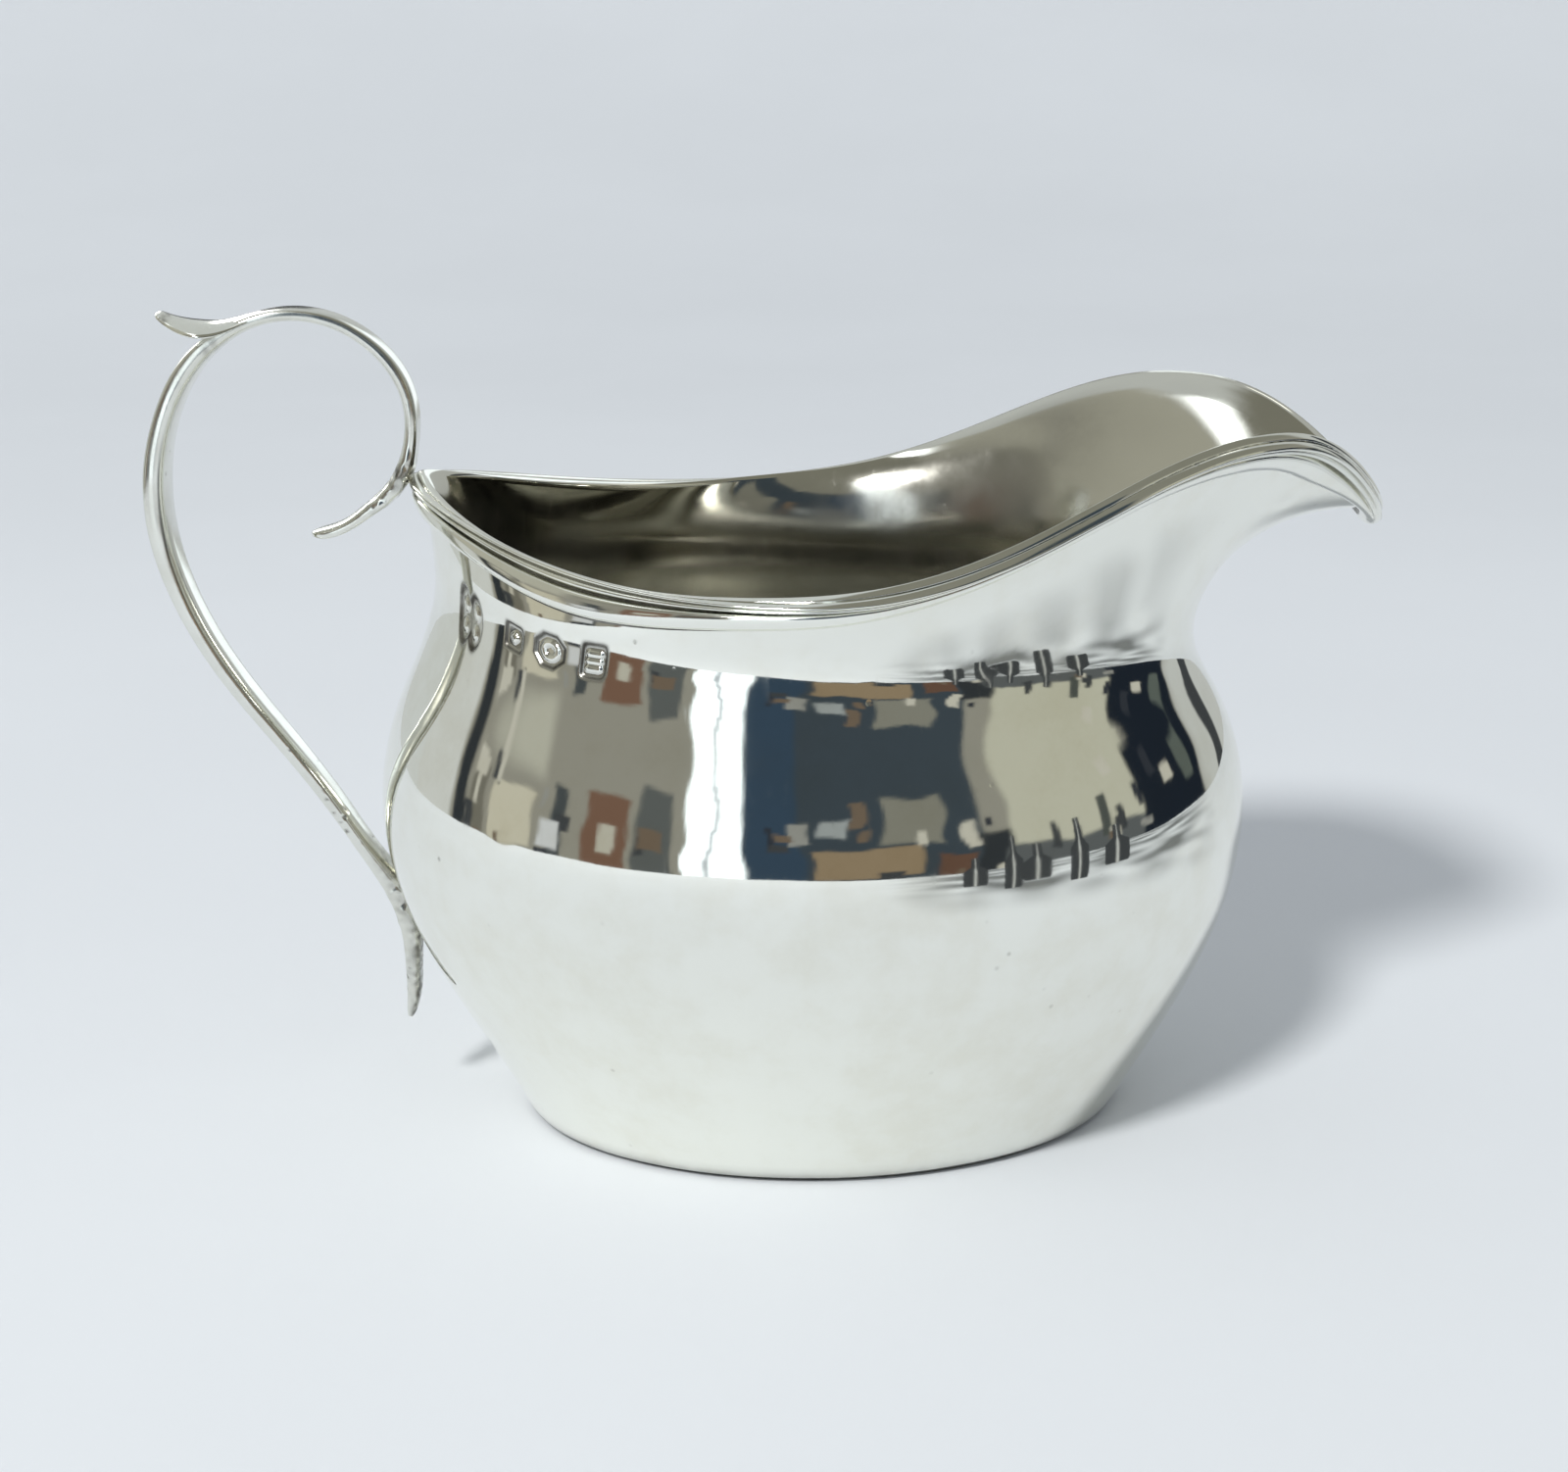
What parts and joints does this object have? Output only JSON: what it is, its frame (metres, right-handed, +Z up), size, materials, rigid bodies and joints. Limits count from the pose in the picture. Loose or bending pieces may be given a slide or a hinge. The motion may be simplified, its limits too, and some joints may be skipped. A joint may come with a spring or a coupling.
{
  "type": "cream jug",
  "caption": "Small oval cream jug in sheet silver with a helmet lip, a reeded rim moulding, a flying-scroll strap handle and a leaf thumbpiece.",
  "frame": {"origin": "centre of the flat underside, on the surface the jug stands on", "axes": "+X runs from the handle to the lip, +Y to the left of someone pouring, +Z up; the jug is the same on both sides of the XZ plane"},
  "size_m": [0.1251, 0.0742, 0.0844],
  "materials": {
    "body": "polished silver with fine scratches and light tarnish",
    "base_plate": "silver, worn dull underneath",
    "rim_moulding": "polished silver, tarnish in the groove",
    "handle": "polished silver, pitted at the solder joints",
    "thumbpiece": "polished silver"
  },
  "bodies": {
    "root": {"body": "body", "base_plate": "base_plate", "rim_moulding": "rim_moulding", "handle": "handle", "thumbpiece": "thumbpiece"}
  },
  "joints": []
}
